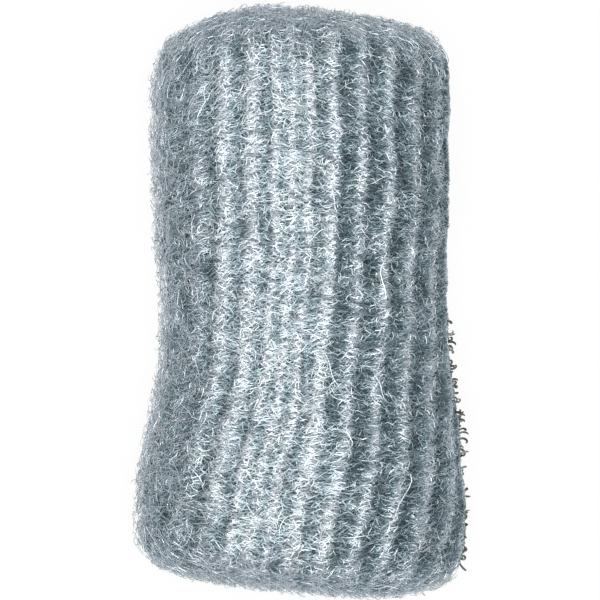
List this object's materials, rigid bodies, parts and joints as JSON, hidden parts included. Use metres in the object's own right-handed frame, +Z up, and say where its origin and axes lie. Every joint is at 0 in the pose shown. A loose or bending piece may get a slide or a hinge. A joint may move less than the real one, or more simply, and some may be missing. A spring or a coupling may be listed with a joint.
{
  "type": "steel wool roll",
  "caption": "Flattened roll of fine steel wool, with fibres running round it over lengthwise ridges, for scouring and polishing.",
  "frame": {"origin": "middle of the box round the roll, on the surface that it lies on", "axes": "+Y along the roll's axis, to the narrower end; +Z up from the surface that it lies on; +X across the roll"},
  "size_m": [0.121, 0.2168, 0.0498],
  "materials": {
    "steel_wool": "bright drawn steel fibres, bluish grey, matted"
  },
  "bodies": {
    "root": {"steel_wool_roll": "steel_wool"}
  },
  "joints": []
}
